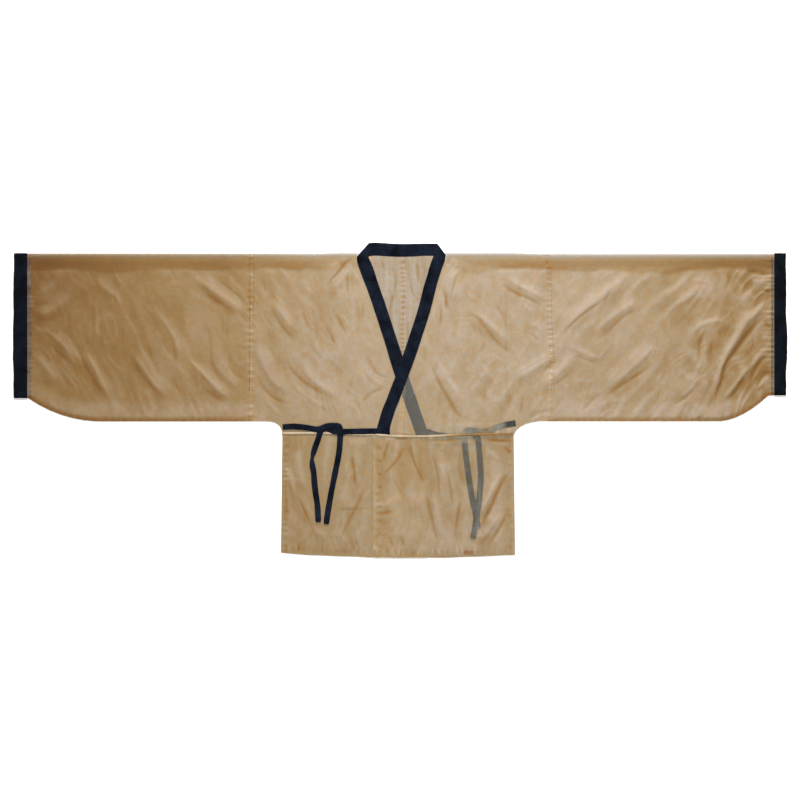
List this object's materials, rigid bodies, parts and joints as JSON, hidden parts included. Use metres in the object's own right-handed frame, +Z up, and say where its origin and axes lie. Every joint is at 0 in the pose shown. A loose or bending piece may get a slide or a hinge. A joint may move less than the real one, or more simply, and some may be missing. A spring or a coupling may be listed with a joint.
{
  "type": "ru jacket of a ruqun hanfu",
  "caption": "Short cross-collar jacket with wide sleeves and a waist skirt panel, laid flat with its front up and tied in front.",
  "frame": {"origin": "middle of the laid jacket's box, on the surface that it lies on", "axes": "+X along the sleeves towards the wearer's left cuff, +Y from the hem towards the collar, +Z up from the surface"},
  "size_m": [1.9, 0.7748, 0.0108],
  "materials": {
    "gauze": "thin see-through tan gauze, softly creased",
    "navy": "plain matt navy weave"
  },
  "bodies": {
    "root": {"panel_inner": "gauze", "panel_outer": "gauze", "gore_inner": "gauze", "gore_outer": "gauze", "sleeve_right": "gauze", "sleeve_left": "gauze", "waist_back": "gauze", "waist_inner": "gauze", "waist_outer": "gauze", "cuff_right": "navy", "cuff_left": "navy", "collar": "navy", "tie_collar_outer": "navy", "tie_side_outer": "navy", "tie_collar_inner": "navy", "tie_side_inner": "navy"}
  },
  "joints": []
}
